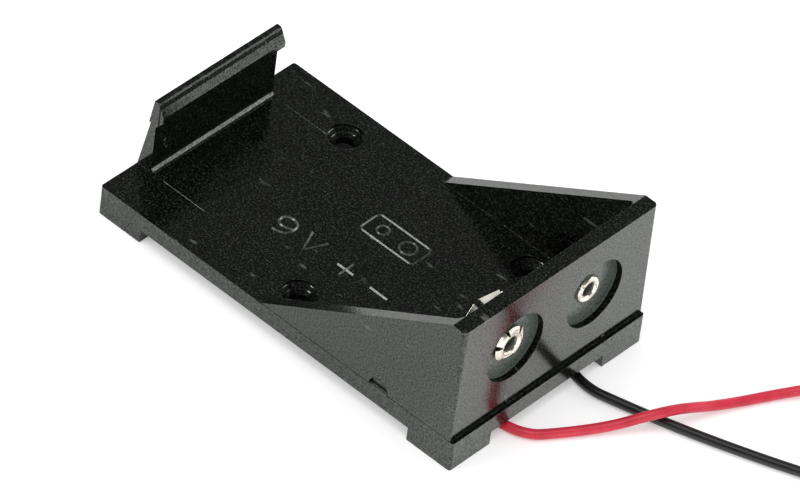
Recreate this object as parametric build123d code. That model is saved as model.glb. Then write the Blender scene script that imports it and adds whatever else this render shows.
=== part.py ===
from build123d import *
import math
import os

os.makedirs("parts", exist_ok=True)

# A holder for one nine-volt battery, moulded in one piece, with two riveted snap contacts.
# Sizes are in millimetres. X runs along the battery towards the contact wall, Z is up.
# The origin is under the middle of the moulding, at the level of its feet.

# The battery that the holder takes
battery_length = 48.5
battery_width = 26.5
terminal_pitch = 12.7

# Room that the battery is given
end_play = 0.4
side_play = 0.7

# Moulded walls
foot_height = 1.8
foot_length = 6.4
foot_to_tag = 1.2
base_thickness = 2.2
base_corner = 0.35
wall_thickness = 1.9
wall_height = 16.2
wall_corner_at_foot = 0.15
wall_corner_at_top = 0.65
front_ledge = 0.5
side_wall_thickness = 1.45
side_ledge = 0.05
bay_corner = 1.0
gusset_run = 26.5

# Spring latch at the end away from the contacts
latch_width = 19.4
latch_height = 10.4
latch_foot_thickness = 2.1
latch_neck_thickness = 0.8
latch_lip_reach = 1.0
latch_lip_underside = 6.7
latch_lip_nose = 7.95
latch_lip_land = 0.75
latch_lip_radius = 0.5
latch_step = 0.25
latch_top_setback = 0.5
latch_top_width = 0.65
latch_foot_chamfer = 0.5

# Countersunk holes for fixing screws, two on the far side and one on the near side
screw_pitch = 28.0
screw_line_middle = -0.5
screw_offset = 11.0
screw_hole_radius = 1.2
screw_head_radius = 2.1
screw_seat_depth = 0.35
screw_cone_depth = 0.9

# Half-round gate recess at the foot of the near side wall
gate_x = 15.5
gate_radius = 1.35
gate_depth = 0.35

# Snap contacts, tags and rivets
terminal_height = 8.45
recess_radius = 4.4
recess_depth = 1.2
rivet_radius = 1.2
rivet_bore = 0.85
rivet_clearance = 0.03
rivet_head_radius = 1.9
rivet_head_thickness = 0.25
eyelet_ring_radius = 1.75
eyelet_ring_height = 0.6
star_ring_radius = 2.3
star_ring_height = 0.75
star_petals = 6
star_slit = 0.4
contact_sheet = 0.3
socket_base_radius = 3.3
socket_throat_radius = 2.85
socket_mouth_radius = 4.1
socket_depth = 3.1
socket_petals = 6
socket_slit = 0.7
socket_turn = 18
stud_flange_radius = 3.5
stud_neck_radius = 2.6
stud_head_radius = 2.85
stud_height = 2.9
stud_pocket_radius = 2.05
stud_flange_thickness = 0.4
tag_thickness = 0.4
tag_width = 3.0
tag_eye_radius = 3.0
tag_tail = 5.2
tag_slot_clearance = 0.1
solder_radius = 1.3
solder_height = 1.15
solder_tip_radius = 0.9
solder_setback = 3.4

# Two limp leads, and the coil that their spare length is wound into
lead_diameter = 1.2
core_radius = 0.26
stripped_length = 5.0
strip_at_solder = 2.0
core_past_middle = 0.5
coil_centre_x = 57.4
coil_centre_y = 23.7
coil_outer_turn = 7.95
coil_turn_pitch = 1.22
tie_thickness = 0.4
tie_width = 2.4
tie_clearance = 0.02
tie_angle = 35

# How far the solids that cut others away reach past them
cut_margin = 1.0
slit_start_margin = 0.15

# The two lead routes on the bench, chosen by hand: x, y and height of each point
red_points = [
    (28.2, -6.55, 0.6),
    (31.7, -1.5, 0.6),
    (34.3, 2.5, 0.9),
    (36.6, 5.6, 2.2),
    (38.1, 9.0, 2.2),
    (39.8, 13.9, 0.7),
    (43.7, 22.1, 0.6),
    (48.0, 26.2, 2.2),
    (51.8, 29.3, 2.2),
]
black_points = [
    (27.4, 4.6, 0.6),
    (32.6, 6.0, 0.6),
    (38.6, 7.75, 0.6),
    (45.5, 10.2, 0.6),
    (52.8, 13.1, 0.65),
    (60.1, 16.2, 1.0),
]
red_turns = 2.25
black_turns = 2.5

# Levels and faces that follow from the sizes above
bay_length = battery_length + end_play
bay_width = battery_width + 2 * side_play
base_width = bay_width + 2 * (side_wall_thickness + side_ledge)
base_length = latch_foot_thickness + bay_length + wall_thickness + front_ledge
end_x = base_length / 2
wall_out_x = end_x - front_ledge
wall_in_x = wall_out_x - wall_thickness
latch_in_x = wall_in_x - bay_length
side_out_y = base_width / 2 - side_ledge
side_in_y = bay_width / 2
floor_z = foot_height + base_thickness
wall_top_z = floor_z + wall_height
terminal_z = floor_z + terminal_height
recess_x = wall_out_x - recess_depth
corner_share = 0.27
lead_radius = lead_diameter / 2
terminals = {"socket": -terminal_pitch / 2, "stud": terminal_pitch / 2}


def moulded_plate():
    """The base plate with its rounded corners and its four corner feet."""
    outline = RectangleRounded(base_length, base_width, base_corner)
    plate = Pos(0, 0, foot_height) * extrude(outline, base_thickness)
    pads = Part()
    foot_width = base_width / 2 - terminal_pitch / 2 - tag_width / 2 - foot_to_tag
    for end in (-1, 1):
        for side in (-1, 1):
            middle_x = end * (base_length - foot_length) / 2
            middle_y = side * (base_width - foot_width) / 2
            pads += Pos(middle_x, middle_y, 0) * extrude(Rectangle(foot_length, foot_width), foot_height)
    return plate + (pads & extrude(outline, foot_height))


def tapered_corner():
    """What the wall's outer corner loses to a rounding that widens from its foot to its top."""
    outer_x = wall_out_x + cut_margin
    outer_y = side_out_y + cut_margin
    sections = []
    for level, radius in ((floor_z, wall_corner_at_foot), (wall_top_z, wall_corner_at_top)):
        start = (wall_out_x - radius, side_out_y)
        middle = (wall_out_x - corner_share * radius, side_out_y - corner_share * radius)
        end = (wall_out_x, side_out_y - radius)
        rounding = ThreePointArc(start, middle, end)
        rest = Polyline(end, (outer_x, end[1]), (outer_x, outer_y), (start[0], outer_y), start)
        sections.append(Pos(0, 0, level) * make_face([rounding, rest]))
    return loft(sections)


def contact_wall():
    """The contact wall with the two sloping side walls that brace it."""
    start_x = wall_in_x - gusset_run
    length = wall_out_x - start_x
    bay_run = wall_in_x - start_x
    outer = Pos(start_x + length / 2, 0) * Rectangle(length, 2 * side_out_y)
    bay = Pos(wall_in_x - bay_run, 0) * Rectangle(2 * bay_run, 2 * side_in_y)
    bay = fillet(bay.vertices().group_by(Axis.X)[-1], bay_corner)
    walls = Pos(0, 0, floor_z) * extrude(outer - bay, wall_height)
    slope = Polyline(
        (start_x, floor_z),
        (wall_in_x, wall_top_z),
        (start_x - cut_margin, wall_top_z + cut_margin),
        (start_x - cut_margin, floor_z),
        close=True,
    )
    waste = extrude(Plane.XZ * make_face(slope), side_out_y + cut_margin, both=True)
    corner = tapered_corner()
    return walls - waste - corner - mirror(corner, about=Plane.XZ)


def latch():
    """The spring latch: a tapered panel with a lip that presses on the end of the battery."""
    inner = latch_in_x
    neck = inner - latch_neck_thickness
    underside_z = floor_z + latch_lip_underside
    nose_z = floor_z + latch_lip_nose
    top_z = floor_z + latch_height
    top_back_x = inner - latch_top_setback
    outline = Polyline(
        (-end_x, floor_z),
        (neck, underside_z + latch_step),
        (neck - latch_step, underside_z + latch_step),
        (top_back_x, top_z),
        (top_back_x + latch_top_width, top_z),
        (inner + latch_lip_reach, nose_z + latch_lip_land),
        (inner + latch_lip_reach, nose_z),
        (inner, underside_z),
        (inner, floor_z + latch_foot_chamfer),
        (inner + latch_foot_chamfer, floor_z),
        close=True,
    )
    face = make_face(outline)
    nose = face.vertices().group_by(Axis.X)[-1].sort_by(Axis.Y)[0]
    face = fillet(nose, latch_lip_radius)
    return extrude(Plane.XZ * face, latch_width / 2, both=True)


def screw_places():
    """The middles of the three screw holes."""
    half = screw_pitch / 2
    return [
        (screw_line_middle - half, screw_offset),
        (screw_line_middle + half, screw_offset),
        (screw_line_middle, -screw_offset),
    ]


def screw_hole():
    """A countersunk hole through the base plate, as a solid to cut away."""
    cone_top = floor_z - screw_seat_depth
    profile = Polyline(
        (0, foot_height - cut_margin),
        (screw_hole_radius, foot_height - cut_margin),
        (screw_hole_radius, cone_top - screw_cone_depth),
        (screw_head_radius, cone_top),
        (screw_head_radius, floor_z + cut_margin),
        (0, floor_z + cut_margin),
        close=True,
    )
    return revolve(Plane.XZ * make_face(profile), Axis.Z)


def housing():
    """The whole moulding, with its holes, recesses and slots."""
    body = moulded_plate() + contact_wall() + latch()
    for place in screw_places():
        body -= Pos(*place) * screw_hole()
    for place_y in terminals.values():
        axis = Pos(recess_x, place_y, terminal_z) * Rot(0, 90, 0)
        recess = Cylinder(recess_radius, recess_depth + cut_margin, align=(Align.CENTER, Align.CENTER, Align.MIN))
        body -= axis * recess
        body -= axis * Cylinder(rivet_radius + rivet_clearance, 2 * wall_thickness)
        slot_x = wall_in_x - tag_thickness / 2
        slot_length = tag_thickness + 2 * tag_slot_clearance
        slot_width = tag_width + 2 * tag_slot_clearance
        body -= Pos(slot_x - tag_slot_clearance, place_y, floor_z) * Box(slot_length, slot_width, 2 * floor_z)
    gate = Pos(gate_x, -side_out_y, floor_z) * Rot(90, 0, 0) * Cylinder(gate_radius, 2 * gate_depth)
    body -= gate & Pos(gate_x, -side_out_y, floor_z + gate_radius) * Box(4 * gate_radius, 2, 2 * gate_radius)
    return body


def at_terminal(turned, name, depth):
    """Stands a piece turned about Y on a terminal's axis, depth into the bay from the recess floor."""
    return Pos(recess_x - depth, terminals[name], terminal_z) * Rot(0, 0, 90) * turned


tag_depth = wall_thickness - recess_depth
contact_depth = tag_depth + tag_thickness
rivet_hole = rivet_radius + rivet_clearance


def sheet_ring(points, thickness):
    """A spun sheet of even thickness whose middle line runs through the points."""
    above = []
    below = []
    for index, point in enumerate(points):
        before = points[max(index - 1, 0)]
        after = points[min(index + 1, len(points) - 1)]
        along = (Vector(*after) - Vector(*before)).normalized()
        across = Vector(-along.Y, along.X) * (thickness / 2)
        above.append(Vector(*point) + across)
        below.append(Vector(*point) - across)
    return revolve(make_face(Polyline(*above, *reversed(below), close=True)), Axis.Y)


def radial_slits(count, width, inner_radius, outer_radius, bottom, top):
    """Slits that part a spun rim into petals."""
    slits = Part()
    for step in range(count):
        length = outer_radius - inner_radius
        slit = Pos(inner_radius + length / 2, (bottom + top) / 2, 0) * Box(length, top - bottom, width)
        slits += Rot(0, 360 / count * (step + 0.5), 0) * slit
    return slits


def socket_contact():
    """The petalled spring socket that grips the battery's stud."""
    base = Rot(90, 0, 0) * Cylinder(socket_base_radius, contact_sheet)
    base = Pos(0, contact_sheet / 2, 0) * base
    half = contact_sheet / 2
    crown = sheet_ring(
        [
            (socket_base_radius - half, half),
            (socket_base_radius + half, socket_depth * 0.25),
            (socket_throat_radius + half, socket_depth * 0.6),
            (socket_mouth_radius - half, socket_depth - half),
        ],
        contact_sheet,
    )
    slits = radial_slits(
        socket_petals,
        socket_slit,
        rivet_head_radius,
        socket_mouth_radius + cut_margin,
        2 * contact_sheet,
        socket_depth + cut_margin,
    )
    hole = Rot(90, 0, 0) * Cylinder(rivet_hole, socket_depth)
    return at_terminal(Rot(0, -socket_turn, 0) * (base + crown - slits - hole), "socket", contact_depth)


def stud_contact():
    """The stud that enters the battery's own socket, with a pocket for the rivet head."""
    round_off = stud_head_radius - stud_neck_radius
    shoulder = stud_height * 0.55
    profile = Polyline(
        (rivet_hole, 0),
        (stud_flange_radius, 0),
        (stud_flange_radius, stud_flange_thickness),
        (stud_neck_radius, stud_flange_thickness),
        (stud_head_radius, shoulder),
        (stud_head_radius, stud_height - 2 * round_off),
        (stud_head_radius - 0.6 * round_off, stud_height - 0.6 * round_off),
        (stud_head_radius - 2 * round_off, stud_height),
        (stud_pocket_radius, stud_height),
        (stud_pocket_radius, stud_flange_thickness),
        (rivet_hole, stud_flange_thickness),
        close=True,
    )
    return at_terminal(revolve(make_face(profile), Axis.Y), "stud", contact_depth)


def rivet_barrel(grip):
    """A tube through the wall, the tag and the contact, with its preformed head in the bay."""
    profile = Polyline(
        (rivet_bore, 0),
        (rivet_radius, 0),
        (rivet_radius, grip),
        (rivet_head_radius, grip),
        (rivet_head_radius, grip + rivet_head_thickness),
        (rivet_bore, grip + rivet_head_thickness),
        close=True,
    )
    return revolve(make_face(profile), Axis.Y)


def eyelet_ring():
    """The smooth rolled end of the right-hand rivet."""
    middle = (rivet_bore + eyelet_ring_radius) / 2
    half = (eyelet_ring_radius - rivet_bore) / 2
    rim = []
    for turn in (0, 40, 75, 105, 140, 180):
        angle = math.radians(turn)
        rim.append((middle + half * math.cos(angle), -eyelet_ring_height * math.sin(angle)))
    return revolve(make_face(Polyline(*rim, close=True)), Axis.Y)


def star_ring():
    """The end of the left-hand rivet, split into petals that are flared over the recess floor."""
    sheet = rivet_radius - rivet_bore
    ring = sheet_ring(
        [
            (rivet_bore + sheet / 2, 0),
            (rivet_radius, -star_ring_height * 0.7),
            (star_ring_radius - sheet, -star_ring_height * 0.75),
            (star_ring_radius - sheet / 2, -sheet),
        ],
        sheet * 0.8,
    )
    inner = rivet_radius + slit_start_margin
    outer = star_ring_radius + cut_margin
    slits = radial_slits(star_petals, star_slit, inner, outer, -star_ring_height - cut_margin, 0)
    floor = Pos(0, -star_ring_height, 0) * Box(6 * rivet_radius, 2 * star_ring_height, 6 * rivet_radius)
    return (ring & floor) - slits


def tag(name):
    """A solder tag: an eye round the rivet, a strip down through the floor and a tail bent under it."""
    place_y = terminals[name]
    eye = Cylinder(tag_eye_radius, tag_thickness)
    eye = Pos(wall_in_x - tag_thickness / 2, place_y, terminal_z) * Rot(0, 90, 0) * eye
    under_z = foot_height - tag_thickness
    bend = tag_thickness / 2
    line = FilletPolyline(
        (wall_in_x - bend, terminal_z),
        (wall_in_x - bend, under_z + bend),
        (wall_in_x - bend - tag_tail, under_z + bend),
        radius=tag_thickness * 0.8,
    )
    path = Plane.XZ * line
    strip_end = Plane(origin=path @ 0, x_dir=(0, 1, 0), z_dir=path % 0)
    strip = Pos(0, place_y, 0) * sweep(strip_end * Rectangle(tag_width, tag_thickness), path)
    hole = Pos(wall_in_x, place_y, terminal_z) * Rot(0, 90, 0) * Cylinder(rivet_hole, 4 * tag_thickness)
    return eye + strip - hole


def lead_start(name):
    """The point where a lead's sleeve begins, beside its solder joint under the base."""
    return (wall_in_x - solder_setback + strip_at_solder, terminals[name], lead_radius)


def core_at_solder(name):
    """The bare core between a lead's sleeve and the far side of its solder joint."""
    x, y, z = lead_start(name)
    length = strip_at_solder + core_past_middle
    return Pos(x - length / 2, y, z) * Rot(0, 90, 0) * Cylinder(core_radius, length)


def solder(name):
    """A domed bead of solder under a tag's tail, round the lead's core."""
    middle_z = foot_height - tag_thickness - solder_height / 2
    bead = Pos(0, 0, middle_z) * Cone(solder_tip_radius, solder_radius, solder_height)
    return Pos(wall_in_x - solder_setback, terminals[name], 0) * bead - core_at_solder(name)


def corner_radii(points):
    """For each corner of a route, the largest arc that its two runs leave room for."""
    radii = []
    for before, corner, after in zip(points, points[1:], points[2:]):
        arriving = Vector(*corner) - Vector(*before)
        leaving = Vector(*after) - Vector(*corner)
        half_turn = math.radians(arriving.get_angle(leaving)) / 2
        radii.append(0.45 * min(arriving.length, leaving.length) / math.tan(half_turn))
    return radii


def lead_tube(name, points, colour):
    """The sleeve of a lead, from its solder joint along the bench to the coil."""
    route = [lead_start(name)] + points
    radii = corner_radii(route)
    line = FilletPolyline(*route, radius=radii)
    section = Plane(origin=line @ 0, z_dir=line % 0) * Circle(lead_radius)
    tube = sweep(section, line)
    share = tube.volume / (math.pi * lead_radius**2 * line.length)
    rounded = [round(radius, 1) for radius in radii]
    print(colour, "lead tube", round(line.length, 1), "mm, volume share", round(share, 4), "radii", rounded)
    return tube - core_at_solder(name)


def coil_band(level, turns):
    """The outer shape of one lead's flat coil."""
    outer = coil_outer_turn + lead_radius
    inner = coil_outer_turn - turns * coil_turn_pitch - lead_radius
    ring = Circle(outer) - Circle(inner)
    return Pos(coil_centre_x, coil_centre_y, level) * extrude(ring, lead_diameter)


def stripped_end(level, turns, angle):
    """The bare tinned end of a lead, inside the coil's hole and in line with its last turn."""
    inner = coil_outer_turn - turns * coil_turn_pitch - lead_radius
    start_x = coil_centre_x + inner * math.cos(math.radians(angle))
    start_y = coil_centre_y + inner * math.sin(math.radians(angle))
    heading = angle + 130
    aim = Pos(start_x, start_y, level + lead_radius) * Rot(0, 0, heading) * Rot(0, 90, 0)
    return aim * Cylinder(core_radius, stripped_length, align=(Align.CENTER, Align.CENTER, Align.MIN))


def coil_tie(layers):
    """A flat tie round one side of the stacked coils."""
    inner = coil_outer_turn - max(red_turns, black_turns) * coil_turn_pitch - lead_radius
    inner = math.sqrt(inner**2 - (tie_width / 2) ** 2)
    outer = coil_outer_turn + lead_radius
    wide = outer - inner + 2 * tie_clearance
    tall = layers * lead_diameter + 2 * tie_clearance
    middle = (outer + inner) / 2
    loop = Box(wide + 2 * tie_thickness, tie_width, tall + 2 * tie_thickness) - Box(wide, tie_width, tall)
    level = tie_thickness + layers * lead_diameter / 2
    swing = Rot(0, 0, tie_angle) * Pos(middle, 0, level + tie_clearance)
    return Pos(coil_centre_x, coil_centre_y, 0) * swing * loop


parts = {
    "housing": housing(),
    "socket_contact": socket_contact(),
    "stud_contact": stud_contact(),
    "socket_rivet": at_terminal(rivet_barrel(contact_depth + contact_sheet) + star_ring(), "socket", 0),
    "stud_rivet": at_terminal(rivet_barrel(contact_depth + stud_flange_thickness) + eyelet_ring(), "stud", 0),
    "positive_tag": tag("socket"),
    "negative_tag": tag("stud"),
    "positive_solder": solder("socket"),
    "negative_solder": solder("stud"),
    "red_lead_core": core_at_solder("socket"),
    "black_lead_core": core_at_solder("stud"),
}

# The leads, the coils of their spare length and their stripped ends
black_level = tie_thickness
red_level = tie_thickness + lead_diameter
red_lead = lead_tube("socket", red_points, "red")
black_lead = lead_tube("stud", black_points, "black")
red_end = stripped_end(red_level, red_turns, 250)
black_end = stripped_end(black_level, black_turns, 110)
parts["red_lead"] = red_lead
parts["black_lead"] = black_lead
parts["red_lead_coil"] = coil_band(red_level, red_turns) - red_lead - red_end
parts["black_lead_coil"] = coil_band(black_level, black_turns) - black_lead - black_end
parts["red_lead_end"] = red_end
parts["black_lead_end"] = black_end
parts["coil_tie"] = coil_tie(2)

for node, shape in parts.items():
    export_step(shape, "parts/" + node + ".step")
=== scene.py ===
import math

import bmesh
import bpy
from mathutils import Matrix, Vector


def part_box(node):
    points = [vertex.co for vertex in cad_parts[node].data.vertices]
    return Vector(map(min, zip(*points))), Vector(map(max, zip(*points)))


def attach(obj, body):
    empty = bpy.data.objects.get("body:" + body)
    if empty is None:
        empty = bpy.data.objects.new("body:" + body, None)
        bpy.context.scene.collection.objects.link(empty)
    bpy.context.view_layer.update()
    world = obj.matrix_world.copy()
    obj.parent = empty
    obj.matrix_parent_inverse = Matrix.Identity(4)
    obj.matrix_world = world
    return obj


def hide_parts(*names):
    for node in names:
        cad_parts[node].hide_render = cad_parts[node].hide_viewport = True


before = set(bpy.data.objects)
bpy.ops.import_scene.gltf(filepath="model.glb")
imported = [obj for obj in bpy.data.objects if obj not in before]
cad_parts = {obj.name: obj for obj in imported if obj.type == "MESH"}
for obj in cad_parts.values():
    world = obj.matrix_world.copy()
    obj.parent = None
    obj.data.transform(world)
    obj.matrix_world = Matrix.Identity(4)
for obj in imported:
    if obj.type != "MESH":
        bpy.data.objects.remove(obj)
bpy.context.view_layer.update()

# Lengths are in millimetres and angles in degrees, unless a comment says otherwise
MM = 0.001

# The photograph's camera, found by fitting the moulding's edges, with its near and far clip in metres
CAMERA_PLACE = Vector((431.49, -548.86, 662.86)) * MM
CAMERA_AZIMUTH = 37.919
CAMERA_ELEVATION = 43.332
CAMERA_ROLL = 7.844
CAMERA_LENS = 393.45
CAMERA_SENSOR = 36
CAMERA_CLIP = (0.01, 20)

# Three low softboxes and a large overhead one, by direction from the holder, in metres and watts
LEFT_LIGHT = {"towards": (-0.46, -0.74, 0.5), "away": 1.0, "wide": 0.3, "high": 0.28, "power": 1.6}
RIGHT_LIGHT = {"towards": (0.616, 0.684, 0.391), "away": 1.0, "wide": 0.6, "high": 0.28, "power": 1.5}
FRONT_LIGHT = {"towards": (0.89, -0.37, 0.26), "away": 1.0, "wide": 0.2, "high": 0.12, "power": 0.6}
TOP_LIGHT = {"towards": (0.05, -0.2, 0.98), "away": 1.2, "wide": 0.9, "high": 0.9, "power": 4.5}

# The studio as reflections see it. Each range is the part of a direction's height, or of its reach
# to the far side, over which the brightness changes. The fill is the least that matt surfaces get
SKY_AT_HORIZON = 0.95
SKY_HORIZON_RANGE = (0.1, 0.35)
SKY_ABOVE = 0.12
SKY_FAR = 0.85
SKY_FAR_RANGE = (0.62, 0.8)
SKY_FILL = 0.6

# The floor, its size in metres. Its glow in reflections changes over a range of x + y
FLOOR_SIZE = 3
FLOOR_DROP = 0.02
FLOOR_COLOUR = (0.93, 0.93, 0.93)
FLOOR_GLOW = 0.34
FLOOR_GLOW_NEAR = 0.15
FLOOR_GLOW_FAR = 0.5
FLOOR_GLOW_RANGE = (-10, 22)
# A painted shadow under the holder: its dark colour, without glow, over a patch of this half length
# and half width
SHADE_COLOUR = (0.04, 0.04, 0.04)
SHADE_HALF_LENGTH = 25.5
SHADE_HALF_WIDTH = 13.8

# The leads: their diameter, roundness and smoothness, and their routes as listed points
LEAD_DIAMETER = 1.2
LEAD_ROUNDNESS = 8
LEAD_SMOOTHNESS = 10
RED_ROUTE = [
    (23.0, -6.35, 0.6),
    (28.2, -6.55, 0.6),
    (31.7, -1.5, 0.6),
    (34.3, 2.5, 0.9),
    (36.6, 5.6, 2.2),
    (38.1, 9.0, 2.2),
    (39.8, 13.9, 0.7),
    (43.7, 22.1, 0.6),
    (48.0, 26.2, 2.2),
]
BLACK_ROUTE = [
    (23.0, 6.35, 0.6),
    (27.4, 4.6, 0.6),
    (32.6, 6.0, 0.6),
    (38.6, 7.75, 0.6),
    (45.5, 10.2, 0.6),
    (52.8, 13.1, 0.65),
]

# The coils of the spare length, one on the other, and the tie round them
COIL_CENTRE = (57.4, 23.7)
COIL_OUTER_TURN = 7.95
COIL_PITCH = 1.22
COIL_STEPS = 16
RED_COIL = {"level": 2.2, "turns": 2.25, "start": 135, "way": -1}
BLACK_COIL = {"level": 1.0, "turns": 2.5, "start": -70, "way": 1}
TIE_ANGLE = 35
TIE_WIDTH = 2.4
TIE_THICKNESS = 0.4
TIE_SHEET = 0.38
TIE_EDGE = 0.08
TIE_BEND = 0.5
TIE_BEND_SEGMENTS = 4

# The stripped cores and lead ends: six strands twisted round a seventh, one turn in each lay
CORE_THICKNESS = 0.52
CORE_HEADING = 0
RED_END_HEADING = 20
BLACK_END_HEADING = 240
STRANDS_ROUND = 6
STRANDS_ACROSS = 3
STRAND_STEPS = 24
STRAND_LAY = 3.75
STRAND_ROUNDNESS = 3

# How smooth lines run through their points, how sheets' cut edges are rounded, and how near each
# other two corners are when they are one
SMOOTH_ORDER = 3
SHEET_EDGE_SEGMENTS = 2
SHEET_EDGE_ANGLE = 50
WELD = 0.0001

# Contacts and rivets are spun about their terminals' axes. The rows of a profile give the depth into
# the bay and the radius, and those of a sheet also the width of the slits there
RECESS_BEHIND_CONTACT = 1.1
SPIN_STEPS = 144

# The snap socket, whose petals turn from round to the flats of a hexagon
SOCKET_SHEET = [
    (0.15, 1.3, 0),
    (0.15, 2.1, 0),
    (0.15, 2.85, 0),
    (0.27, 3.12, 0),
    (0.5, 3.28, 0),
    (0.75, 3.28, 0.7),
    (1.0, 3.16, 0.7),
    (1.22, 3.06, 0.7),
    (1.4, 3.05, 0.7),
    (1.55, 3.12, 0.7),
    (1.9, 3.34, 0.7),
    (2.3, 3.6, 0.7),
    (2.7, 3.85, 0.7),
    (2.93, 3.98, 0.75),
]
SOCKET_THICKNESS = 0.3
SOCKET_EDGE = 0.06
SOCKET_FLOOR = 0.3
SOCKET_PETALS = 6
SOCKET_TURN = 18
SOCKET_FLAT_FROM = 0.8
SOCKET_FLAT_AT = 1.8
SOCKET_FLAT_SWELL = 1.07

# The snap stud
STUD_WALL = [
    (0.0, 1.25),
    (0.0, 3.4),
    (0.1, 3.5),
    (0.3, 3.48),
    (0.4, 3.3),
    (0.42, 2.85),
    (0.55, 2.66),
    (0.9, 2.66),
    (1.5, 2.82),
    (2.0, 2.85),
    (2.4, 2.82),
    (2.7, 2.68),
    (2.86, 2.48),
    (2.9, 2.3),
    (2.84, 2.15),
    (2.6, 2.05),
    (1.6, 2.0),
    (0.7, 1.96),
    (0.42, 1.8),
    (0.4, 1.25),
]
STUD_FLOOR = 0.4

# The rolled rivet: its head over the recess's floor, its foot over the stud's floor, and a crack
EYELET_HEAD = [
    (-0.05, 0.85),
    (-0.26, 0.93),
    (-0.42, 1.1),
    (-0.5, 1.34),
    (-0.44, 1.56),
    (-0.27, 1.72),
    (-0.06, 1.75),
    (0.0, 1.6),
    (0.0, 1.2),
]
EYELET_FOOT = [
    (0.0, 1.2),
    (0.0, 1.75),
    (0.06, 1.88),
    (0.16, 1.88),
    (0.25, 1.7),
    (0.27, 1.3),
    (0.2, 1.02),
    (0.0, 0.85),
]
EYELET_CRACK_ANGLE = 137
EYELET_CRACK_HALF_ANGLE = 6
EYELET_CRACK_FROM = 1.25
EYELET_BORE_REACH = 0.95

# The split rivet: its sheet from the socket's floor to the flared star, and how far each petal of
# the star is flared, where one is fully
STAR_FOOT = [
    (0.12, 1.75, 0),
    (0.12, 1.3, 0),
    (0.0, 1.02, 0),
]
STAR_SHEET = [
    (0.3, 1.02, 0),
    (0.1, 1.02, 0),
    (-0.2, 1.04, 0),
    (-0.42, 1.13, 0),
    (-0.53, 1.32, 0),
    (-0.56, 1.55, 0.2),
    (-0.51, 1.8, 0.3),
    (-0.41, 2.05, 0.38),
    (-0.3, 2.24, 0.7),
]
STAR_THICKNESS = 0.26
STAR_EDGE = 0.05
STAR_BORE_REACH = 1.1
STAR_PETALS = 6
STAR_TURN = 17
STAR_FLARES = (1.0, 0.9, 0.5, 0.95, 0.82, 1.04)
STAR_FLARE_FROM = STAR_SHEET[3][1]
STAR_FLARE_EFFECT = 0.5

# A solder joint's outline, as shares of its radius and of its height under the tag. Below the share
# of its height that is its rim, it leans to and fro by a share of its radius
SOLDER_OUTLINE = [
    (0.0, -1.0),
    (0.3, -0.98),
    (0.52, -0.88),
    (0.66, -0.68),
    (0.74, -0.4),
    (0.82, -0.18),
    (0.93, -0.05),
    (1.0, 0.0),
    (0.0, 0.0),
]
SOLDER_STEPS = 48
SOLDER_RIM = 0.1
SOLDER_LEAN = 0.12
SOLDER_LEAN_WAVE = 2.1

# Raised marks on the tray's floor, drawn by their strokes, as x and y. A stroke of five points or
# more is a smooth curve
TRAY_ABOVE_TAGS = 2.6
SMOOTH_STROKE_POINTS = 5
STROKE_SMOOTHNESS = 6
RIDGE_ROUNDNESS = 0
MARK_RIDGE = 0.17
MARK_STROKES = {
    "nine": [
        [(-9.6, -5.9), (-8.2, -5.7), (-7.7, -4.6), (-7.9, -3.4), (-9.0, -3.0), (-10.1, -3.5),
         (-10.0, -4.6), (-8.9, -4.9), (-7.8, -4.3)],
    ],
    "letter_v": [[(-6.2, -3.0), (-5.0, -5.9), (-3.8, -3.0)]],
    "plus": [[(-0.9, -4.5), (1.5, -4.5)], [(0.3, -3.3), (0.3, -5.7)]],
    "minus": [[(4.0, -4.5), (6.6, -4.5)]],
}
WITNESS_RIDGE = 0.05
WITNESS_NEAR = [[(-22.6, -9.65), (-16.2, -9.65)]]
WITNESS_FAR = [[(-22.6, 9.65), (-16.2, 9.65)]]

# The battery's pictogram: a rounded outline, and two rings by their offset and radius
PICTOGRAM_RIDGE = 0.13
PICTOGRAM_MIDDLE = Vector((0.6, 3.2))
PICTOGRAM_HALF_LENGTH = 4.0
PICTOGRAM_HALF_WIDTH = 1.7
PICTOGRAM_CORNER = 0.6
PICTOGRAM_CORNER_STEP = 15
PICTOGRAM_RINGS = ((-1.9, 0.75), (1.9, 1.05))
PICTOGRAM_RING_STEP = 30

# A duller line on the plastic along the latch's lip and its foot, above the tray
LATCH_LINE_X = -24.2
LATCH_LINE_HALF = 0.11
LATCH_LINE_ABOVE = 3.9
LATCH_HALF_WIDTH = 9.9

# Dull bands in the screw holes' cones, as level and half height, within the tray's middle
CONE_BANDS = ((3.375, 0.185), (2.92, 0.18))
CONES_WITHIN_X = 20
CONES_WITHIN_Y = 13.4

# The gate mark at the foot of the near side: a dull rim round a small matt ledge, whose colour is
# painted light that lifts it out of its shade
GATE_X = 15.5
GATE_LEVEL = 4.0
GATE_RADIUS = 1.35
GATE_BEYOND_Y = -14.9
GATE_RIM_MIDDLE = 1.33
GATE_RIM_HALF = 0.1
GATE_RIM_ABOVE = 0.05
GATE_LEDGE_HALF = 0.02

# The round recesses: a matt floor with the foot of the walls, whose colour is painted light that
# lifts them out of their shade, and dull walls, each as a middle height over the floor and a half
# height, and a reach from the middle that takes in the whole recess
RECESS_MATT_AND_PAINTED_LIGHT = (0.19, 0.25)
RECESS_DULL = (0.81, 0.36)
RECESS_REACH = 4.6

# How much of its gloss the plastic loses where it is dull, and how much rougher it is there
DULL_LOSS = 0.85
DULL_ROUGHER = 0.3
MATT_ROUGHER = 0.25

# Colours, as plain linear values
PLASTIC = (0.001, 0.0014, 0.0011)
PLASTIC_SPECK = (0.045, 0.053, 0.043)
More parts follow.
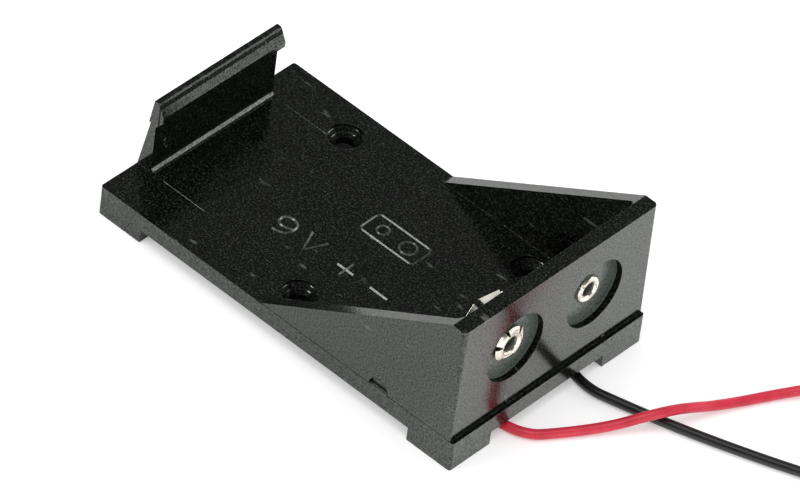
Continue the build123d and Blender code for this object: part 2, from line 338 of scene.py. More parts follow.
# The matt colours are painted light, much paler than the plastic, on the shaded recess floors and
# gate ledge
PLASTIC_PAINTED_LIGHT = (0.07, 0.086, 0.07)
PLASTIC_PAINTED_LIGHT_SPECK = (0.15, 0.175, 0.15)
PLASTIC_SCUFF = (0.09, 0.095, 0.09)
PLASTIC_WORN = (0.11, 0.125, 0.11)
PLASTIC_GLINT = (0.93, 1.0, 0.92)
RED_SLEEVE = (0.8, 0.035, 0.075)
RED_SLEEVE_DEEP = (0.64, 0.02, 0.045)
BLACK_SLEEVE = (0.005, 0.0055, 0.005)
BLACK_SLEEVE_WORN = (0.012, 0.0125, 0.0115)

# Patterns, as the size of their blots, their detail and their stretch
EVEN = (1, 1, 1)
GRAIN = (0.22, 1.5, EVEN)
CLOUD = (6, 3, EVEN)
SCUFF = (1.2, 2, (0.35, 1, 1))
RUB = (0.5, 2, EVEN)
SLEEVE_CLOUD = (2.2, 3, EVEN)
SLEEVE_FINE = (0.28, 2, EVEN)
METAL_LINE = 0.12
METAL_DETAIL = 3

# The part of a pattern's values over which a finish changes
PATTERN_MIDDLE = (0.3, 0.7)
SPECK_RANGE = (0.53, 0.8)
PAINTED_LIGHT_SPECK_RANGE = (0.35, 0.7)
SCUFF_RANGE = (0.7, 0.76)
RUB_RANGE = (0.38, 0.6)
SLEEVE_RANGE = (0.35, 0.7)
METAL_RANGE = (0.4, 0.75)

# Finishes: roughness, gloss, and the depth of the grain
PLASTIC_IOR = 1.7
GRAIN_DEPTH = 0.007
GRAIN_SHINE = (0.16, 0.84)
CLOUD_POLISH = (0.1, 0.16)
GRAIN_POLISH = (-0.03, 0.03)
WORN_POLISH = (0.14, 0.26)
SLEEVE_IOR = 1.52
SLEEVE_DEPTH = 0.006
SLEEVE_CLOUD_POLISH = (0.3, 0.4)
SLEEVE_FINE_POLISH = (-0.04, 0.04)
METAL_BLOT_ROUGHER = 0.12
SOFT_EDGE = 0.05
SOFT_EDGE_SAMPLES = 6

# Metals: colour, roughness, the size of their dull blots, and their drawn lines
NICKEL_PLATE = {
    "bright": (0.86, 0.84, 0.76),
    "dull": (0.66, 0.65, 0.54),
    "roughness": 0.16,
    "blots": 1.6,
    "line_depth": 0.002,
    "line_stretch": EVEN,
}
TAG_PLATE = {**NICKEL_PLATE, "roughness": 0.22, "blots": 2.5, "line_stretch": (4, 4, 0.3)}
SOLDER = {
    "bright": (0.62, 0.61, 0.58),
    "dull": (0.42, 0.41, 0.39),
    "roughness": 0.2,
    "blots": 0.8,
    "line_depth": 0.004,
    "line_stretch": EVEN,
}
TINNED_COPPER = {**SOLDER, "roughness": 0.28, "blots": 0.5, "line_depth": 0.003}
# The rivets' bores: the nickel painted darker, as painted shade in the hollows
RIVET_BORE_SHADE = {
    "bright": (0.3, 0.29, 0.26),
    "dull": (0.12, 0.135, 0.12),
    "roughness": 0.45,
    "blots": 0.4,
    "line_depth": 0.003,
    "line_stretch": EVEN,
}


def new_material(name):
    """A node material, with its node tree and its principled shader."""
    material = bpy.data.materials.new(name)
    material.use_nodes = True
    tree = material.node_tree
    return material, tree, tree.nodes["Principled BSDF"]


def set_inputs(shader, **values):
    """Sets the shader's own sockets, with underscores for the spaces in their names."""
    for name, value in values.items():
        shader.inputs[name.replace("_", " ")].default_value = value


def link_inputs(tree, shader, **sources):
    """Links patterns to the shader's sockets, with underscores for the spaces in their names."""
    for name, source in sources.items():
        tree.links.new(source, shader.inputs[name.replace("_", " ")])


def coordinates(tree, stretch=EVEN):
    """The piece's own coordinates, in metres, stretched along its axes."""
    place = tree.nodes.new("ShaderNodeTexCoord")
    mapping = tree.nodes.new("ShaderNodeMapping")
    mapping.inputs["Scale"].default_value = stretch
    tree.links.new(place.outputs["Object"], mapping.inputs["Vector"])
    return mapping.outputs["Vector"]


def axes(tree, vector):
    """A vector's x, y and z, each a socket."""
    split = tree.nodes.new("ShaderNodeSeparateXYZ")
    tree.links.new(vector, split.inputs["Vector"])
    return split.outputs


def noise(tree, size, detail, stretch):
    """Noise whose blots are about size millimetres wide."""
    node = tree.nodes.new("ShaderNodeTexNoise")
    node.inputs["Scale"].default_value = 1 / (size * MM)
    node.inputs["Detail"].default_value = detail
    tree.links.new(coordinates(tree, stretch), node.inputs["Vector"])
    return node.outputs["Fac"]


def spread(tree, value, low, high, to_low=0, to_high=1):
    """A value carried from one range to another, and held at its ends."""
    node = tree.nodes.new("ShaderNodeMapRange")
    node.inputs["From Min"].default_value = low
    node.inputs["From Max"].default_value = high
    node.inputs["To Min"].default_value = to_low
    node.inputs["To Max"].default_value = to_high
    tree.links.new(value, node.inputs["Value"])
    return node.outputs["Result"]


def combine(tree, operation, first, second=None, third=None):
    """One math node on one, two or three values, which may be sockets or numbers."""
    node = tree.nodes.new("ShaderNodeMath")
    node.operation = operation
    for socket, value in zip(node.inputs, (first, second, third)):
        if isinstance(value, bpy.types.NodeSocket):
            tree.links.new(value, socket)
        elif value is not None:
            socket.default_value = value
    return node.outputs["Value"]


def blend_colours(tree, factor, first, second):
    """A colour between two, each a plain value or a socket."""
    node = tree.nodes.new("ShaderNodeMix")
    node.data_type = "RGBA"
    tree.links.new(factor, node.inputs["Factor"])
    for name, value in (("A", first), ("B", second)):
        socket = [entry for entry in node.inputs if entry.name == name and entry.type == "RGBA"][0]
        if isinstance(value, bpy.types.NodeSocket):
            tree.links.new(value, socket)
        else:
            socket.default_value = (*value, 1)
    return [entry for entry in node.outputs if entry.type == "RGBA"][0]


def layered_polish(tree, broad, broad_polish, fine, fine_polish):
    """A roughness that changes with a broad pattern, and a little with a fine one."""
    return combine(
        tree,
        "ADD",
        spread(tree, broad, *PATTERN_MIDDLE, *broad_polish),
        spread(tree, fine, *PATTERN_MIDDLE, *fine_polish),
    )


def bump(tree, height, depth, normal=None):
    """A bump of depth millimetres, over another normal where one is given."""
    node = tree.nodes.new("ShaderNodeBump")
    node.inputs["Strength"].default_value = 1.0
    node.inputs["Distance"].default_value = depth * MM
    tree.links.new(height, node.inputs["Height"])
    if normal is not None:
        tree.links.new(normal, node.inputs["Normal"])
    return node.outputs["Normal"]


def soft_edges(tree):
    """A normal that rounds a piece's edges a little."""
    node = tree.nodes.new("ShaderNodeBevel")
    node.samples = SOFT_EDGE_SAMPLES
    node.inputs["Radius"].default_value = SOFT_EDGE * MM
    return node.outputs["Normal"]


def every(tree, *masks):
    """One where every mask is one."""
    product = masks[0]
    for mask in masks[1:]:
        product = combine(tree, "MULTIPLY", product, mask)
    return product


def either(tree, *masks):
    """One where any of the masks is one."""
    largest = masks[0]
    for mask in masks[1:]:
        largest = combine(tree, "MAXIMUM", largest, mask)
    return largest


def within(tree, value, middle, half):
    """One where a length is no further than half from a middle, both in millimetres."""
    return combine(tree, "COMPARE", value, middle * MM, half * MM)


def recess_mask(tree, place, recess, band):
    """One in a band above the floors of the two round recesses, recess being a floor's middle."""
    x, y, z = place
    height, half = band
    side = combine(tree, "ABSOLUTE", y)
    return every(
        tree,
        within(tree, x, recess.x + height, half),
        within(tree, z, recess.z, RECESS_REACH),
        within(tree, side, abs(recess.y), RECESS_REACH),
    )


def latch_line_mask(tree, place):
    """One on the duller line along the latch's lip and its foot."""
    x, y, z = place
    return every(
        tree,
        within(tree, x, LATCH_LINE_X, LATCH_LINE_HALF),
        within(tree, y, 0, LATCH_HALF_WIDTH),
        combine(tree, "GREATER_THAN", z, LATCH_LINE_ABOVE * MM),
    )


def cone_mask(tree, place):
    """One in the dull bands of the screw holes' cones."""
    x, y, z = place
    return every(
        tree,
        either(tree, *[within(tree, z, *band) for band in CONE_BANDS]),
        within(tree, x, 0, CONES_WITHIN_X),
        within(tree, y, 0, CONES_WITHIN_Y),
    )


def gate_rim_mask(tree, place):
    """One on the gate mark's dull rim."""
    x, y, z = place
    across = combine(tree, "SUBTRACT", x, GATE_X * MM)
    above = combine(tree, "SUBTRACT", z, GATE_LEVEL * MM)
    squares = combine(tree, "MULTIPLY_ADD", across, across, combine(tree, "MULTIPLY", above, above))
    return every(
        tree,
        within(tree, combine(tree, "SQRT", squares), GATE_RIM_MIDDLE, GATE_RIM_HALF),
        combine(tree, "GREATER_THAN", above, GATE_RIM_ABOVE * MM),
        combine(tree, "LESS_THAN", y, GATE_BEYOND_Y * MM),
    )


def gate_ledge_mask(tree, place):
    """One on the small matt ledge inside the gate mark, which gets painted light."""
    x, y, z = place
    return every(
        tree,
        within(tree, x, GATE_X, GATE_RADIUS),
        within(tree, z, GATE_LEVEL, GATE_LEDGE_HALF),
        combine(tree, "LESS_THAN", y, GATE_BEYOND_Y * MM),
    )


def plastic_material(recess):
    """Semi-gloss black plastic with a fine moulded grain, specks, a few light scuffs, and painted
    light on the recess floors and the gate ledge.
    """
    material, tree, shader = new_material("black_plastic")
    set_inputs(shader, IOR=PLASTIC_IOR, Specular_Tint=(*PLASTIC_GLINT, 1))
    grain = noise(tree, *GRAIN)
    cloud = noise(tree, *CLOUD)
    scuff = spread(tree, noise(tree, *SCUFF), *SCUFF_RANGE)
    place = axes(tree, coordinates(tree))
    # The matt places are rougher, and their colour is painted light against their shade
    matt_and_painted_light = either(
        tree,
        recess_mask(tree, place, recess, RECESS_MATT_AND_PAINTED_LIGHT),
        gate_ledge_mask(tree, place),
    )
    dull = either(
        tree,
        latch_line_mask(tree, place),
        cone_mask(tree, place),
        gate_rim_mask(tree, place),
        recess_mask(tree, place, recess, RECESS_DULL),
    )
    speck = spread(tree, grain, *SPECK_RANGE)
    glossy_colour = blend_colours(tree, speck, PLASTIC, PLASTIC_SPECK)
    speck = spread(tree, grain, *PAINTED_LIGHT_SPECK_RANGE)
    painted_light_colour = blend_colours(tree, speck, PLASTIC_PAINTED_LIGHT, PLASTIC_PAINTED_LIGHT_SPECK)
    colour = blend_colours(tree, matt_and_painted_light, glossy_colour, painted_light_colour)
    colour = blend_colours(tree, scuff, colour, PLASTIC_SCUFF)
    polish = layered_polish(tree, cloud, CLOUD_POLISH, grain, GRAIN_POLISH)
    polish = combine(tree, "MULTIPLY_ADD", dull, DULL_ROUGHER, polish)
    polish = combine(tree, "MULTIPLY_ADD", matt_and_painted_light, MATT_ROUGHER, polish)
    shine = spread(tree, grain, *PATTERN_MIDDLE, *GRAIN_SHINE)
    shine_kept = combine(tree, "MULTIPLY_ADD", dull, -DULL_LOSS, 1)
    link_inputs(
        tree,
        shader,
        Base_Color=colour,
        Roughness=polish,
        Specular_IOR_Level=combine(tree, "MULTIPLY", shine, shine_kept),
        Normal=bump(tree, grain, GRAIN_DEPTH, soft_edges(tree)),
    )
    return material


def worn_material():
    """The same plastic where it stands proud of the tray and is rubbed pale in places."""
    material, tree, shader = new_material("worn_plastic")
    set_inputs(shader, IOR=PLASTIC_IOR, Specular_Tint=(*PLASTIC_GLINT, 1))
    rub = spread(tree, noise(tree, *RUB), *RUB_RANGE)
    grain = noise(tree, *GRAIN)
    link_inputs(
        tree,
        shader,
        Base_Color=blend_colours(tree, rub, PLASTIC_SPECK, PLASTIC_WORN),
        Roughness=spread(tree, grain, *PATTERN_MIDDLE, *WORN_POLISH),
        Normal=bump(tree, grain, GRAIN_DEPTH),
    )
    return material


def metal_material(name, finish):
    """Metal with dull blots, fine drawn lines and softened edges."""
    material, tree, shader = new_material(name)
    set_inputs(shader, Metallic=1.0)
    roughness = finish["roughness"]
    blots = noise(tree, finish["blots"], METAL_DETAIL, EVEN)
    lines = noise(tree, METAL_LINE, METAL_DETAIL, finish["line_stretch"])
    dullness = spread(tree, blots, *METAL_RANGE)
    link_inputs(
        tree,
        shader,
        Base_Color=blend_colours(tree, dullness, finish["bright"], finish["dull"]),
        Roughness=spread(tree, blots, *PATTERN_MIDDLE, roughness, roughness + METAL_BLOT_ROUGHER),
        Normal=bump(tree, lines, finish["line_depth"], soft_edges(tree)),
    )
    return material


def sleeve_material(name, colour, deep):
    """Soft extruded vinyl with uneven gloss and a faint waviness."""
    material, tree, shader = new_material(name)
    set_inputs(shader, IOR=SLEEVE_IOR)
    cloud = noise(tree, *SLEEVE_CLOUD)
    fine = noise(tree, *SLEEVE_FINE)
    link_inputs(
        tree,
        shader,
        Base_Color=blend_colours(tree, spread(tree, cloud, *SLEEVE_RANGE), colour, deep),
        Roughness=layered_polish(tree, cloud, SLEEVE_CLOUD_POLISH, fine, SLEEVE_FINE_POLISH),
        Normal=bump(tree, fine, SLEEVE_DEPTH),
    )
    return material


def use_material(nodes, material):
    """Gives CAD nodes a better material."""
    for node in nodes:
        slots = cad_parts[node].data.materials
        slots.clear()
        slots.append(material)


def link_piece(name, data, replaced=()):
    """Links a piece of the holder, which may stand for CAD nodes."""
    piece = bpy.data.objects.new(name, data)
    bpy.context.scene.collection.objects.link(piece)
    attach(piece, "root")
    if replaced:
        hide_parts(*replaced)
    return piece


def show_piece(name, mesh, material, replaced):
    """Finishes a bmesh and links it as a piece of the holder."""
    bmesh.ops.remove_doubles(mesh, verts=mesh.verts, dist=WELD * MM)
    bmesh.ops.recalc_face_normals(mesh, faces=mesh.faces)
    data = bpy.data.meshes.new(name)
    mesh.to_mesh(data)
    mesh.free()
    data.shade_smooth()
    data.materials.append(material)
    return link_piece(name, data, replaced)


def thicken(piece, thickness, rounding):
    """Gives a sheet its thickness and rounds its cut edges."""
    wall = piece.modifiers.new("sheet", "SOLIDIFY")
    wall.thickness = thickness * MM
    wall.offset = 0
    wall.use_even_offset = True
    edge = piece.modifiers.new("cut edge", "BEVEL")
    edge.width = rounding * MM
    edge.segments = SHEET_EDGE_SEGMENTS
    edge.limit_method = "ANGLE"
    edge.angle_limit = math.radians(SHEET_EDGE_ANGLE)
    edge.harden_normals = True


def round_curve(name, radius, roundness, material):
    """A capped round curve, still without its splines."""
    curve = bpy.data.curves.new(name, "CURVE")
    curve.dimensions = "3D"
    curve.bevel_depth = radius * MM
    curve.bevel_resolution = roundness
    curve.use_fill_caps = True
    curve.materials.append(material)
    return curve


def smooth(spline, smoothness):
    """Makes a spline one smooth line that reaches its ends."""
    spline.order_u = SMOOTH_ORDER
    spline.use_endpoint_u = True
    spline.resolution_u = smoothness


def direction(turn):
    """The x and y of a direction on the floor."""
    angle = math.radians(turn)
    return math.cos(angle), math.sin(angle)


def terminal_seat(contact):
    """The point where a contact's axis meets the face that it is riveted against."""
    low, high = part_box(contact)
    return Vector((high.x, (low.y + high.y) / 2, (low.z + high.z) / 2))


def about_terminal(place, seat):
    """A place as its depth into the bay, its radius and its angle about a terminal's axis."""
    away = place - seat
    radius = math.hypot(away.y, away.z) / MM
    return -away.x / MM, radius, math.degrees(math.atan2(away.z, away.y))


def spin(mesh, places, centre, axis, steps, closed=False):
    """Joins places in a row and spins it once round an axis."""
    corners = [mesh.verts.new(place) for place in places]
    edges = [mesh.edges.new(pair) for pair in zip(corners, corners[1:])]
    if closed:
        edges.append(mesh.edges.new((corners[-1], corners[0])))
    bmesh.ops.spin(
        mesh,
        geom=corners + edges,
        cent=centre,
        axis=axis,
        angle=math.tau,
        steps=steps,
        use_merge=True,
    )


def spin_profile(mesh, seat, rows, closed):
    """Spins a contact's or a rivet's profile about its terminal's axis."""
    places = [seat + Vector((-row[0], row[1], 0)) * MM for row in rows]
    spin(mesh, places, seat, (1, 0, 0), SPIN_STEPS, closed)


def cut_slits(mesh, seat, rows, petals, turn):
    """Parts a spun sheet into petals by slits as wide as its rows say."""
    pitch = 360 / petals
    spare = []
    for face in mesh.faces:
        depth, radius, angle = about_terminal(face.calc_center_median(), seat)
        nearest = min(rows, key=lambda row: math.hypot(row[0] - depth, row[1] - radius))
        from_slit = abs((angle - turn) % pitch - pitch / 2)
        if radius * math.sin(math.radians(from_slit)) < nearest[2] / 2:
            spare.append(face)
    bmesh.ops.delete(mesh, geom=spare, context="FACES")


def flatten_petals(mesh, seat):
    """Presses the socket's round petals towards the flats of a hexagon."""
    pitch = 360 / SOCKET_PETALS
    narrow = SOCKET_FLAT_SWELL * math.cos(math.radians(pitch / 2))
    for vert in mesh.verts:
        depth, _, angle = about_terminal(vert.co, seat)
        share = (depth - SOCKET_FLAT_FROM) / (SOCKET_FLAT_AT - SOCKET_FLAT_FROM)
        share = min(max(share, 0), 1)
        from_middle = (angle - SOCKET_TURN + pitch / 2) % pitch - pitch / 2
        flat = narrow / math.cos(math.radians(from_middle))
        scale = 1 + share * (flat - 1)
        vert.co.y = seat.y + (vert.co.y - seat.y) * scale
        vert.co.z = seat.z + (vert.co.z - seat.z) * scale


def paint_bore_shade(piece, seat, bore, reach):
    """Gives the inside of a rivet's bore its own darker material, painted shade in the hollow."""
    piece.data.materials.append(bore)
    is_sheet = len(piece.modifiers) > 0
    for face in piece.data.polygons:
        away = face.center - seat
        inward = Vector((0, away.y, away.z)).dot(face.normal) < 0
        if math.hypot(away.y, away.z) < reach * MM and (inward or is_sheet):
            face.material_index = 1


def socket_piece(material):
    """The snap socket: a pressed cup whose rim is slit into petals that flare at the mouth."""
    seat = terminal_seat("socket_contact")
    mesh = bmesh.new()
    spin_profile(mesh, seat, SOCKET_SHEET, closed=False)
    cut_slits(mesh, seat, SOCKET_SHEET, SOCKET_PETALS, SOCKET_TURN)
    flatten_petals(mesh, seat)
    piece = show_piece("snap_socket", mesh, material, ["socket_contact"])
    thicken(piece, SOCKET_THICKNESS, SOCKET_EDGE)


def stud_piece(material):
    """The snap stud: a flange, a waisted wall and a rolled rim round its pocket."""
    mesh = bmesh.new()
    spin_profile(mesh, terminal_seat("stud_contact"), STUD_WALL, closed=True)
    show_piece("snap_stud", mesh, material, ["stud_contact"])


def eyelet_piece(material, bore):
    """The smooth rivet: a rolled head in its recess and a flat foot in the bay."""
    seat = terminal_seat("stud_contact")
    head = [(depth - RECESS_BEHIND_CONTACT, radius) for depth, radius in EYELET_HEAD]
    foot = [(depth + STUD_FLOOR, radius) for depth, radius in EYELET_FOOT]
    mesh = bmesh.new()
    spin_profile(mesh, seat, head + foot, closed=True)
    for vert in mesh.verts:
        depth, radius, angle = about_terminal(vert.co, seat)
        from_crack = abs((angle - EYELET_CRACK_ANGLE + 180) % 360 - 180)
        in_crack = from_crack < EYELET_CRACK_HALF_ANGLE and radius > EYELET_CRACK_FROM
        if in_crack and depth < -RECESS_BEHIND_CONTACT:
            vert.co.x = seat.x + RECESS_BEHIND_CONTACT * MM
    piece = show_piece("eyelet_rivet", mesh, material, ["stud_rivet"])
    paint_bore_shade(piece, seat, bore, EYELET_BORE_REACH)


def star_piece(material, bore):
    """The split rivet: a tube whose end is flared over the recess in six uneven petals."""
    seat = terminal_seat("socket_contact")
    foot = [(depth + SOCKET_FLOOR, radius, slit) for depth, radius, slit in STAR_FOOT]
    star = [(depth - RECESS_BEHIND_CONTACT, radius, slit) for depth, radius, slit in STAR_SHEET]
    pitch = 360 / STAR_PETALS
    mesh = bmesh.new()
    spin_profile(mesh, seat, foot + star, closed=False)
    cut_slits(mesh, seat, foot + star, STAR_PETALS, STAR_TURN)
    for vert in mesh.verts:
        depth, radius, angle = about_terminal(vert.co, seat)
        beyond = radius - STAR_FLARE_FROM
        if beyond > 0 and depth < 0:
            petal = int((angle - STAR_TURN + pitch / 2) % 360 // pitch)
            drawn_in = beyond * (1 - STAR_FLARES[petal]) * STAR_FLARE_EFFECT
            vert.co.y -= (vert.co.y - seat.y) * drawn_in / radius
            vert.co.z -= (vert.co.z - seat.z) * drawn_in / radius
            vert.co.x -= drawn_in * MM
    piece = show_piece("star_rivet", mesh, material, ["socket_rivet"])
    thicken(piece, STAR_THICKNESS, STAR_EDGE)
    paint_bore_shade(piece, seat, bore, STAR_BORE_REACH)


def solder_piece(name, node, material):
    """A domed solder joint that wets the tag with a thin rim."""
    low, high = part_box(node)
    middle = (low + high) / 2
    radius = (high.x - low.x) / 2
    height = high.z - low.z
    places = []
    for across, down in SOLDER_OUTLINE:
        places.append((middle.x + across * radius, middle.y, high.z + down * height))
    mesh = bmesh.new()
    spin(mesh, places, middle, (0, 0, 1), SOLDER_STEPS)
    for vert in mesh.verts:
        if vert.co.z < high.z - SOLDER_RIM * height:
            wave = math.sin((vert.co.x - middle.x) / radius * SOLDER_LEAN_WAVE)
            vert.co.y += SOLDER_LEAN * radius * wave
    show_piece(name, mesh, material, [node])


def strand_piece(name, node, heading, material):
    """Seven twisted strands along a CAD core, from the core's box and its heading."""
    low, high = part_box(node)
    middle = (low + high) / 2
    length = math.hypot(high.x - low.x, high.y - low.y) - CORE_THICKNESS * MM
    along = Vector((*direction(heading), 0))
    across = Vector((-along.y, along.x, 0))
    up = Vector((0, 0, 1))
    strand = CORE_THICKNESS / STRANDS_ACROSS / 2
    curve = round_curve(name, strand, STRAND_ROUNDNESS, material)
    for index in range(STRANDS_ROUND + 1):
        reach = 0 if index == STRANDS_ROUND else 2 * strand * MM
        spline = curve.splines.new("POLY")
        spline.points.add(STRAND_STEPS)
        for step, point in enumerate(spline.points):
            share = step / STRAND_STEPS
            angle = math.tau * (index / STRANDS_ROUND + share * length / (STRAND_LAY * MM))
            place = middle + along * (share - 0.5) * length
            place += (across * math.cos(angle) + up * math.sin(angle)) * reach
            point.co = (*place, 1)
    return link_piece(name, curve, [node])


def tie_piece(material):
    """The flat tie that holds the coils together, with rounded bends."""
    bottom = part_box("black_lead_coil")[0].z
    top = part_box("red_lead_coil")[1].z
    most_turns = max(RED_COIL["turns"], BLACK_COIL["turns"])
    outer = COIL_OUTER_TURN + LEAD_DIAMETER / 2
    inner = COIL_OUTER_TURN - most_turns * COIL_PITCH - LEAD_DIAMETER / 2
    inner = math.sqrt(inner**2 - (TIE_WIDTH / 2) ** 2)
    middle = Vector(((outer + inner) / 2 * MM, 0, (bottom + top) / 2))
    length = (outer - inner + TIE_THICKNESS) * MM
    size = Vector((length, TIE_WIDTH * MM, top - bottom + TIE_THICKNESS * MM))
    turn = Matrix.Rotation(math.radians(TIE_ANGLE), 3, "Z")
    mesh = bmesh.new()
    bmesh.ops.create_cube(mesh, size=1)
    bmesh.ops.scale(mesh, vec=size, verts=mesh.verts)
    ends = [face for face in mesh.faces if round(abs(face.normal.y)) == 1]
    bmesh.ops.delete(mesh, geom=ends, context="FACES_ONLY")
    bends = []
    for edge in mesh.edges:
        if abs(edge.verts[0].co.y - edge.verts[1].co.y) > size.y / 2:
            bends.append(edge)
    bmesh.ops.bevel(
        mesh,
        geom=bends,
        offset=TIE_BEND * MM,
        segments=TIE_BEND_SEGMENTS,
        profile=0.5,
        material=-1,
        affect="EDGES",
    )
    bmesh.ops.translate(mesh, vec=middle, verts=mesh.verts)
    bmesh.ops.rotate(mesh, cent=(0, 0, 0), matrix=turn, verts=mesh.verts)
    bmesh.ops.translate(mesh, vec=Vector((*COIL_CENTRE, 0)) * MM, verts=mesh.verts)
    piece = show_piece("coil_wrap", mesh, material, ["coil_tie"])
    thicken(piece, TIE_SHEET, TIE_EDGE)
    return piece


def ridge_piece(name, strokes, ridge, material, level):
    """Thin ridges with sloping sides along strokes on the tray's floor."""
    curve = round_curve(name, ridge, RIDGE_ROUNDNESS, material)
    for stroke in strokes:
        curved = len(stroke) >= SMOOTH_STROKE_POINTS
        spline = curve.splines.new("NURBS" if curved else "POLY")
        spline.points.add(len(stroke) - 1)
        for point, (x, y) in zip(spline.points, stroke):
            point.co = (x * MM, y * MM, level, 1)
        if curved:
            smooth(spline, STROKE_SMOOTHNESS)
        spline.use_smooth = False
    link_piece(name, curve)


def pictogram_strokes():
    """A plain battery seen from its contacts' end: a rounded outline with two rings."""
    half_length = PICTOGRAM_HALF_LENGTH - PICTOGRAM_CORNER
    half_width = PICTOGRAM_HALF_WIDTH - PICTOGRAM_CORNER
    outline = []
    for turn in range(0, 360, PICTOGRAM_CORNER_STEP):
        x, y = direction(turn)
        corner = Vector((math.copysign(half_length, x), math.copysign(half_width, y)))
        outline.append(tuple(PICTOGRAM_MIDDLE + corner + Vector((x, y)) * PICTOGRAM_CORNER))
    strokes = [outline + outline[:1]]
    for offset, radius in PICTOGRAM_RINGS:
        ring = []
        for turn in range(0, 361, PICTOGRAM_RING_STEP):
            x, y = direction(turn)
            ring.append(tuple(PICTOGRAM_MIDDLE + Vector((offset + radius * x, radius * y))))
        strokes.append(ring)
    return strokes


def coil_points(coil):
    """The points of a flat coil's turns, wound inwards from its outer turn."""
    points = []
    for step in range(int(coil["turns"] * COIL_STEPS) + 1):
        turned = step / COIL_STEPS
        radius = COIL_OUTER_TURN - COIL_PITCH * turned
        x, y = direction(coil["start"] + coil["way"] * 360 * turned)
        points.append((COIL_CENTRE[0] + radius * x, COIL_CENTRE[1] + radius * y, coil["level"]))
    return points


def lead(name, route, coil, material, replaced):
    """A round lead on a smooth line through its route and its coil."""
    curve = round_curve(name, LEAD_DIAMETER / 2, LEAD_ROUNDNESS, material)
    points = route + coil_points(coil)
    spline = curve.splines.new("NURBS")
    spline.points.add(len(points) - 1)
    for point, place in zip(spline.points, points):
        point.co = (*(Vector(place) * MM), 1)
    smooth(spline, LEAD_SMOOTHNESS)
    piece = link_piece(name, curve, replaced)


def floor_material():
    """A pale floor, white round the holder, with a painted shadow under it, and clear from below."""
    material, tree, shader = new_material("floor")
    set_inputs(shader, Roughness=1.0, Emission_Color=(1, 1, 1, 1))
    x, y = axes(tree, coordinates(tree))[:2]
    shade = every(
        tree,
        within(tree, x, 0, SHADE_HALF_LENGTH),
        within(tree, y, 0, SHADE_HALF_WIDTH),
    )
    near, far = FLOOR_GLOW_RANGE
    across = combine(tree, "ADD", x, y)
    ramp = spread(tree, across, near * MM, far * MM, FLOOR_GLOW_NEAR, FLOOR_GLOW_FAR)
    rays = tree.nodes.new("ShaderNodeLightPath")
    gloss = combine(tree, "MULTIPLY", rays.outputs["Is Glossy Ray"], ramp)
    glow = combine(tree, "MULTIPLY_ADD", rays.outputs["Is Camera Ray"], FLOOR_GLOW, gloss)
    side = tree.nodes.new("ShaderNodeNewGeometry")
    link_inputs(
        tree,
        shader,
        Base_Color=blend_colours(tree, shade, FLOOR_COLOUR, SHADE_COLOUR),
        Emission_Strength=combine(tree, "MULTIPLY", glow, combine(tree, "SUBTRACT", 1, shade)),
        Alpha=combine(tree, "SUBTRACT", 1, side.outputs["Backfacing"]),
    )
    return material


def add_floor():
    """The wide floor, which keeps the holder's soft shadow."""
    mesh = bmesh.new()
    bmesh.ops.create_grid(mesh, x_segments=1, y_segments=1, size=FLOOR_SIZE)
    bmesh.ops.translate(mesh, vec=(0, 0, -FLOOR_DROP * MM), verts=mesh.verts)
    data = bpy.data.meshes.new("floor")
    mesh.to_mesh(data)
    mesh.free()
    data.materials.append(floor_material())
    piece = bpy.data.objects.new("floor", data)
    bpy.context.scene.collection.objects.link(piece)


def add_camera():
    """The photograph's camera."""
    data = bpy.data.cameras.new("camera")
    data.sensor_width = CAMERA_SENSOR
    data.lens = CAMERA_LENS
    data.clip_start, data.clip_end = CAMERA_CLIP
    turn = math.radians(CAMERA_AZIMUTH)
    lift = math.radians(CAMERA_ELEVATION)
    right = Vector((math.cos(turn), math.sin(turn), 0))
    back = Vector((math.sin(turn) * math.cos(lift), -math.cos(turn) * math.cos(lift), math.sin(lift)))
    level = Matrix((right, back.cross(right), back)).transposed().to_4x4()
    roll = Matrix.Rotation(math.radians(CAMERA_ROLL), 4, "Z")
    piece = bpy.data.objects.new("camera", data)
    piece.matrix_world = Matrix.Translation(CAMERA_PLACE) @ level @ roll
    bpy.context.scene.collection.objects.link(piece)
    bpy.context.scene.camera = piece


def add_softbox(name, light):
    """A rectangular softbox that looks at the holder."""
    data = bpy.data.lights.new(name, "AREA")
    data.shape = "RECTANGLE"
    data.size = light["wide"]
    data.size_y = light["high"]
    data.energy = light["power"]
    piece = bpy.data.objects.new(name, data)
    towards = Vector(light["towards"]).normalized()
    piece.location = towards * light["away"]
    piece.rotation_euler = towards.to_track_quat("Z", "Y").to_euler()
    bpy.context.scene.collection.objects.link(piece)


def add_world():
    """A studio pale near the floor and on the far side, dark above, and white behind the holder."""
    studio = bpy.data.worlds.new("studio")
    bpy.context.scene.world = studio
    studio.use_nodes = True
    tree = studio.node_tree
    background = tree.nodes["Background"]
    set_inputs(background, Color=(1, 1, 1, 1))
    place = tree.nodes.new("ShaderNodeTexCoord")
    y, z = axes(tree, place.outputs["Generated"])[1:]
    rays = tree.nodes.new("ShaderNodeLightPath")
    strength = either(
        tree,
        spread(tree, y, *SKY_FAR_RANGE, SKY_ABOVE, SKY_FAR),
        spread(tree, z, *SKY_HORIZON_RANGE, SKY_AT_HORIZON, 0),
        combine(tree, "MULTIPLY_ADD", rays.outputs["Is Glossy Ray"], -SKY_FILL, SKY_FILL),
        rays.outputs["Is Camera Ray"],
    )
    link_inputs(tree, background, Strength=strength)


add_camera()
add_world()
add_floor()
add_softbox("left_softbox", LEFT_LIGHT)
add_softbox("right_softbox", RIGHT_LIGHT)
add_softbox("front_softbox", FRONT_LIGHT)
add_softbox("top_softbox", TOP_LIGHT)

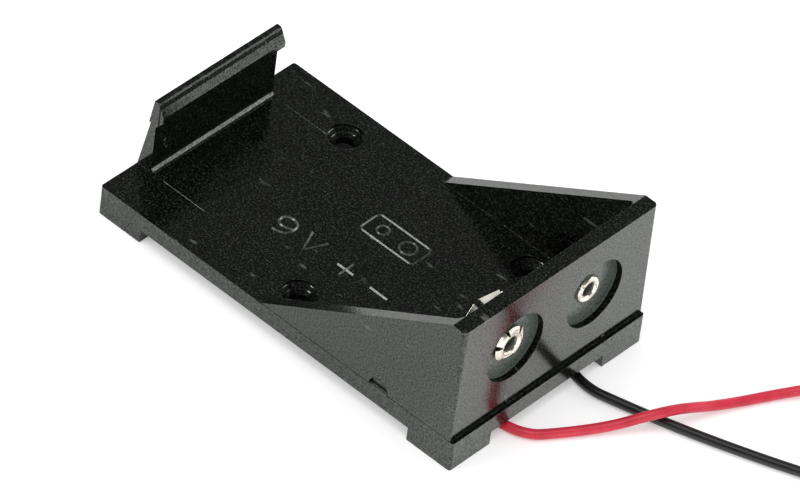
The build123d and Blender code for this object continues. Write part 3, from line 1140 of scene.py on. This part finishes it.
# The moulding keeps its CAD shape. Its material gives it grain, gloss and soft edges, and painted
# light in its recesses and gate mark
recess = terminal_seat("socket_contact") / MM + Vector((RECESS_BEHIND_CONTACT, 0, 0))
plastic = plastic_material(recess)
use_material(["housing"], plastic)

# Raised marks and two witness lines on the tray's floor
worn = worn_material()
tray_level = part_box("positive_tag")[0].z + TRAY_ABOVE_TAGS * MM
for mark, strokes in MARK_STROKES.items():
    ridge_piece("mark_" + mark, strokes, MARK_RIDGE, worn, tray_level)
ridge_piece("mark_battery", pictogram_strokes(), PICTOGRAM_RIDGE, worn, tray_level)
ridge_piece("witness_near", WITNESS_NEAR, WITNESS_RIDGE, plastic, tray_level)
ridge_piece("witness_far", WITNESS_FAR, WITNESS_RIDGE, worn, tray_level)

# Contacts, rivets with painted shade in their bores, and tags
nickel = metal_material("nickel_plate", NICKEL_PLATE)
bore = metal_material("rivet_bore_painted_shade", RIVET_BORE_SHADE)
socket_piece(nickel)
stud_piece(nickel)
eyelet_piece(nickel, bore)
star_piece(nickel, bore)
use_material(["positive_tag", "negative_tag"], metal_material("tag_plate", TAG_PLATE))

# Solder joints, stripped cores and lead ends
solder = metal_material("solder", SOLDER)
tinned = metal_material("tinned_copper", TINNED_COPPER)
solder_piece("positive_joint", "positive_solder", solder)
solder_piece("negative_joint", "negative_solder", solder)
strand_piece("red_core_strands", "red_lead_core", CORE_HEADING, tinned)
strand_piece("black_core_strands", "black_lead_core", CORE_HEADING, tinned)
red_end = strand_piece("red_end_strands", "red_lead_end", RED_END_HEADING, tinned)
black_end = strand_piece("black_end_strands", "black_lead_end", BLACK_END_HEADING, tinned)

# Leads and the tie round their coils
red = sleeve_material("red_sleeve", RED_SLEEVE, RED_SLEEVE_DEEP)
black = sleeve_material("black_sleeve", BLACK_SLEEVE, BLACK_SLEEVE_WORN)
tie = tie_piece(black)
lead("red_wire", RED_ROUTE, RED_COIL, red, ["red_lead", "red_lead_coil"])
lead("black_wire", BLACK_ROUTE, BLACK_COIL, black, ["black_lead", "black_lead_coil"])

bpy.context.scene.view_settings.view_transform = "Standard"
